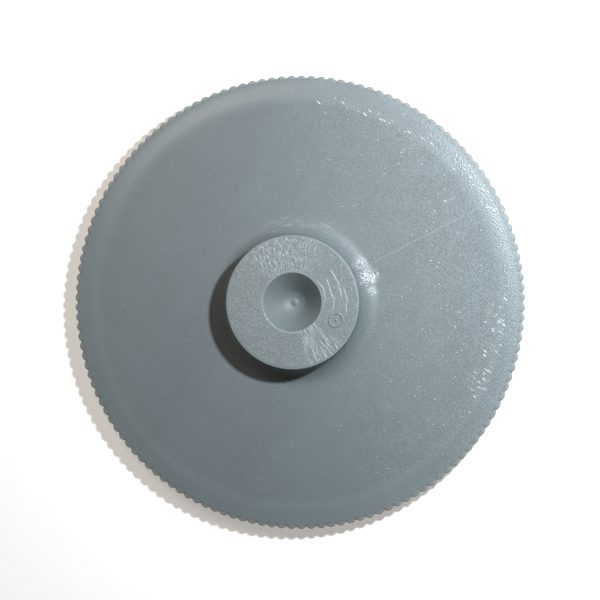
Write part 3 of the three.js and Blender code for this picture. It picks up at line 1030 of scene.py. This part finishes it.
def base_plate():
    base = turned_object("nested_base", base_profile(), 240)
    combine(base, webs(base_web(), BASE_WEBS), "UNION")
    cut_low = BASE_BOTTOM - CUT_START
    cuts = []
    for place in foot_places():
        cuts.append(peg(FOOT_SEAT_RADIUS, cut_low, BASE_BOTTOM + FOOT_SEAT_DEPTH, place, 96))
        cuts.append(peg(FOOT_HOLE_RADIUS, cut_low, BASE_FLOOR + 1, place))
    for place in on_circle(EJECT_CIRCLE, EJECT_MARKS, 0.75):
        cuts.append(peg(EJECT_RADIUS, cut_low, BASE_BOTTOM + FIELD_STEP + EJECT_DEPTH, place))
    combine(base, cuts, "DIFFERENCE")
    finish_piece(base, "base_plate")


def threaded(start, end, crest, share=1.0):
    """A shape function that cuts a screw thread between two heights. The share is of the full depth, and
    a negative one cuts outwards, into the wall of a bore."""
    run_out = 0.4

    def shape(radii, heights, angles):
        radius, height = radii[0], heights[0]
        if abs(radius - crest) > 0.05 or not start < height < end:
            return radii, heights
        turns = height / THREAD_PITCH - angles / (2 * math.pi)
        wave = np.abs((turns % 1.0) - 0.5) * 2
        flanks = np.clip(wave * 1.3 - 0.15, 0, 1)
        fade = smooth_step(start, start + run_out, height) * (1 - smooth_step(end - run_out, end, height))
        return radii - share * THREAD_DEPTH * fade * flanks, heights

    return shape


def rows(radius, start, end):
    """Closely spaced rings on a round wall, up or down it, for a thread to be cut in."""
    step = 0.1 if end > start else -0.1
    return [(radius, z) for z in np.arange(start, end, step)]


def pivot_screw():
    """A screw with a low round head, which is downwards, and a hexagon socket in it."""
    head_height, tip_taper = 1.3, 0.5
    across_flats, socket_depth = 3.0, 0.9
    low, high = box_mm("pivot_screw")
    head_top = low.z + head_height
    points = [
        (0, low.z),
        (high.x, low.z, 0.7),
        (high.x, head_top),
        (SHANK_RADIUS, head_top),
        (SHANK_RADIUS, head_top + 1),
    ]
    shank = rows(SHANK_RADIUS, head_top + 1.05, high.z - tip_taper)
    tip = [(SHANK_RADIUS - tip_taper, high.z), (0, high.z)]
    thread = threaded(head_top + 1.2, high.z - 0.3, SHANK_RADIUS)
    screw = turned_object("socket_screw", soften(points, 0.18, 4) + shank + tip, 64, thread)
    socket = peg(across_flats / math.sqrt(3), low.z - 1, low.z + socket_depth, (0, 0), 6)
    combine(screw, [socket], "DIFFERENCE")
    finish_piece(screw, "pivot_screw")


def head_insert():
    """A brass insert with a knurled wall, a smooth waist and a threaded bore."""
    knurls, knurl_depth = 36, 0.28
    waist_depth, waist_slope = 0.45, 0.15
    low, high = box_mm("head_insert")
    outer, bore = high.x, SHANK_RADIUS + BORE_GAP
    length = high.z - low.z
    waist_low, waist_high = low.z + length * 0.4, low.z + length * 0.6
    wall = [
        (bore, low.z),
        (outer, low.z),
        (outer, waist_low),
        (outer - waist_depth, waist_low + waist_slope),
        (outer - waist_depth, waist_high - waist_slope),
        (outer, waist_high),
        (outer, high.z),
        (bore, high.z),
    ]
    inside = rows(bore, high.z - 0.1, low.z + 0.05)
    thread = threaded(low.z + 0.1, high.z - 0.1, bore, share=-0.6)

    def shape(radii, heights, angles):
        if radii[0] > outer - 0.1:
            knurl = np.abs(((angles * knurls / (2 * math.pi)) % 1.0) - 0.5) * 2
            return radii - knurl_depth * knurl, heights
        return thread(radii, heights, angles)

    insert = turned_object("threaded_insert", wall + inside, 144, shape)
    finish_piece(insert, "head_insert")


def washer(node, piece, bore, radius, edge):
    low, high = box_mm(node)
    profile = [(bore, low.z), (radius, low.z), (radius, high.z), (bore, high.z)]
    ring = turned_object(piece, soften(profile, edge, 4, closed=True), 96)
    finish_piece(ring, node)


def pivot_bush():
    """A flanged bush with a grease groove round the middle of its bore."""
    groove_depth, groove_mouth, groove_floor = 0.3, 0.7, 0.4
    low, high = box_mm("pivot_bush")
    bore = SPIGOT_RADIUS + BORE_GAP
    flange = high.z - 1.0
    middle = (low.z + high.z) / 2
    points = [
        (bore, low.z),
        (BUSH_RADIUS, low.z, 0.5),
        (BUSH_RADIUS, flange),
        (high.x, flange),
        (high.x, high.z, 0.35),
        (bore, high.z, 0.35),
        (bore, middle + groove_mouth),
        (bore + groove_depth, middle + groove_floor),
        (bore + groove_depth, middle - groove_floor),
        (bore, middle - groove_mouth),
    ]
    bush = turned_object("bronze_bush", soften(points, 0.12, 3, closed=True), 120)
    finish_piece(bush, "pivot_bush")


def pivot_cap():
    """A snap-in cover with a dished middle and a notch in its edge to lever it out by."""
    dish, dish_floor, dish_mouth = 0.2, 5.6, 6.4
    wall = 0.9
    notch_radius, notch_depth = 1.2, 0.35
    low, high = box_mm("pivot_cap")
    radius = high.x
    points = [
        (0, low.z + dish),
        (dish_floor, low.z + dish, 0.6),
        (dish_mouth, low.z, 0.4),
        (radius, low.z, 0.35),
        (radius, high.z),
        (radius - wall, high.z),
        (radius - wall, high.z - dish),
        (0, high.z - dish),
    ]
    cap = turned_object("snap_cap", soften(points, 0.15, 3), 120)
    notch = peg(notch_radius, low.z - 1, low.z + notch_depth, (radius + 0.2, 0), 32)
    combine(cap, [notch], "DIFFERENCE")
    finish_piece(cap, "pivot_cap")


def rubber_feet():
    """Round pads with two grooves underneath and a barbed stem, standing on the ground."""
    groove_starts, depth = (2.0, 3.6), 0.25
    barb = BASE_FLOOR + 0.2
    for i, place in enumerate(foot_places()):
        node = f"foot_{i + 1}"
        low, high = box_mm(node)
        radius = (high.x - low.x) / 2
        grooves = []
        for start in groove_starts:
            grooves += [(start, 0), (start + 0.15, depth), (start + 0.55, depth), (start + 0.7, 0)]
        points = [
            (0, 0),
            *grooves,
            (radius - 0.15, 0, 0.4),
            (radius, PAD_TOP, 0.25),
            (STEM_RADIUS, PAD_TOP),
            (STEM_RADIUS, barb),
            (BARB_RADIUS, barb, 0.1),
            (1.5, high.z, 0.3),
            (0, high.z),
        ]
        foot = turned_object(f"rubber_{node}", soften(points, 0.12, 3), 72, centre=(*place, 0))
        finish_piece(foot, node)


wheel_head()
race("upper_race", "race_ring_upper")
race("lower_race", "race_ring_lower")
ball_cage()
bearing_balls()
base_plate()
head_insert()
pivot_bush()
pivot_screw()
washer("thrust_washer", "nylon_washer", bore=SPIGOT_RADIUS + 0.5, radius=POCKET_RADIUS - 0.4, edge=0.15)
washer("retaining_washer", "steel_washer", bore=SHANK_RADIUS + 0.4, radius=POCKET_RADIUS - 0.6, edge=0.1)
pivot_cap()
rubber_feet()


# ---- floor, light and camera


def floor():
    """A pale floor that curves up at its far edge, so that low views have it behind the wheel too."""
    reach, bend, wall = 3000.0, 300.0, 560.0
    curve = arc((reach - bend, bend), bend, 270, 360, 16)
    profile = [(0, 0), (500, 0), (1500, 0), *curve, (reach, wall)]
    obj = turned_object("floor", profile, 128)
    shader = Shader("floor_paper", Roughness=0.9)
    shader.surface.inputs["Base Color"].default_value = colour(0.8, 0.79, 0.77)
    shader.surface.inputs["Emission Color"].default_value = colour(1.0, 0.965, 0.92)
    shader.surface.inputs["Emission Strength"].default_value = 0.4
    obj.data.materials.append(shader.material)


def area_light(name, azimuth, elevation, distance, size, power, tint):
    """An area light aimed at the middle of the wheel. Sizes and distances are in wheel radii."""
    reach = RIM * MM
    a, e = math.radians(azimuth), math.radians(elevation)
    direction = Vector((math.cos(e) * math.cos(a), math.cos(e) * math.sin(a), math.sin(e)))
    light = bpy.data.lights.new(name, "AREA")
    light.shape = "DISK"
    light.size = size * reach
    light.energy = power
    light.color = tint
    obj = bpy.data.objects.new(name, light)
    obj.location = direction * distance * reach + Vector((0, 0, FACE * MM))
    obj.rotation_mode = "QUATERNION"
    obj.rotation_quaternion = direction.to_track_quat("Z", "Y")
    bpy.context.scene.collection.objects.link(obj)


def world_light(strength):
    """A faint white light from all round."""
    world = bpy.data.worlds.new("studio")
    world.use_nodes = True
    background = world.node_tree.nodes["Background"]
    background.inputs["Color"].default_value = colour(1.0, 1.0, 1.0)
    background.inputs["Strength"].default_value = strength
    bpy.context.scene.world = world


def camera():
    """Nearly straight above, leaning a little towards +X, with +Y up in the picture."""
    lens = bpy.data.cameras.new("camera")
    lens.sensor_width = 36.0
    lens.lens = 107.6
    width = RIM * VIEW_WIDTH * MM
    distance = width / 2 / math.tan(math.atan(lens.sensor_width / 2 / lens.lens))
    lean = math.radians(LEAN)
    aim = Vector(AIM) * MM
    obj = bpy.data.objects.new("camera", lens)
    obj.rotation_mode = "QUATERNION"
    obj.rotation_quaternion = Matrix.Rotation(lean, 4, "Y").to_quaternion()
    obj.location = aim + Vector((math.sin(lean), 0, math.cos(lean))) * distance
    bpy.context.scene.collection.objects.link(obj)
    bpy.context.scene.camera = obj


floor()
area_light("key", azimuth=31.5, elevation=51, distance=4.5, size=0.35, power=2.4, tint=(0.92, 1.0, 1.06))
area_light("fill", azimuth=126, elevation=57, distance=4.5, size=2.0, power=0.36, tint=(1.18, 1.0, 0.88))
world_light(0.01)
camera()
bpy.context.scene.view_settings.view_transform = "Standard"
